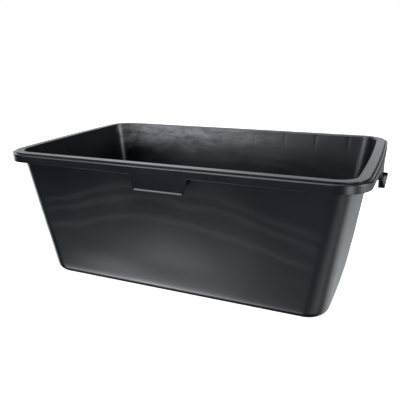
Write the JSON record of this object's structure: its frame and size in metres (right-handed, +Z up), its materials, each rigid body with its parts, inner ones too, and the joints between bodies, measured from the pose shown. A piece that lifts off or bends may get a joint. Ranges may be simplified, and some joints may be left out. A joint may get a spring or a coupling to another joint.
{
  "type": "mortar mixing tub",
  "caption": "Open rectangular mixing tub moulded in black plastic, with sloping walls, a stepped rim with a downturned lip, and grip panels hanging from it.",
  "frame": {"origin": "centre of the tub's underside", "axes": "+X along the long sides, +Y from the front to the back, +Z up"},
  "size_m": [0.747, 0.452, 0.276],
  "materials": {
    "tub_plastic": "moulded black polyethylene, satin, faint flow lines and scuffs"
  },
  "bodies": {
    "root": {"floor_pan": "tub_plastic", "grip_end_rib_left": "tub_plastic", "grip_end_rib_right": "tub_plastic", "grip_gusset_left": "tub_plastic", "grip_gusset_right": "tub_plastic", "grip_ledge_left": "tub_plastic", "grip_ledge_right": "tub_plastic", "grip_panel_back": "tub_plastic", "grip_panel_front": "tub_plastic", "grip_panel_left": "tub_plastic", "grip_panel_right": "tub_plastic", "grip_webs_back": "tub_plastic", "grip_webs_front": "tub_plastic", "grip_webs_left": "tub_plastic", "grip_webs_right": "tub_plastic", "lip_back": "tub_plastic", "lip_back_left": "tub_plastic", "lip_back_right": "tub_plastic", "lip_front": "tub_plastic", "lip_front_left": "tub_plastic", "lip_front_right": "tub_plastic", "lip_left": "tub_plastic", "lip_right": "tub_plastic", "rim_back": "tub_plastic", "rim_back_left": "tub_plastic", "rim_back_right": "tub_plastic", "rim_front": "tub_plastic", "rim_front_left": "tub_plastic", "rim_front_right": "tub_plastic", "rim_left": "tub_plastic", "rim_ribs_back": "tub_plastic", "rim_ribs_front": "tub_plastic", "rim_ribs_left": "tub_plastic", "rim_ribs_right": "tub_plastic", "rim_right": "tub_plastic", "wall_back": "tub_plastic", "wall_back_left": "tub_plastic", "wall_back_right": "tub_plastic", "wall_front": "tub_plastic", "wall_front_left": "tub_plastic", "wall_front_right": "tub_plastic", "wall_left": "tub_plastic", "wall_right": "tub_plastic"}
  },
  "joints": []
}
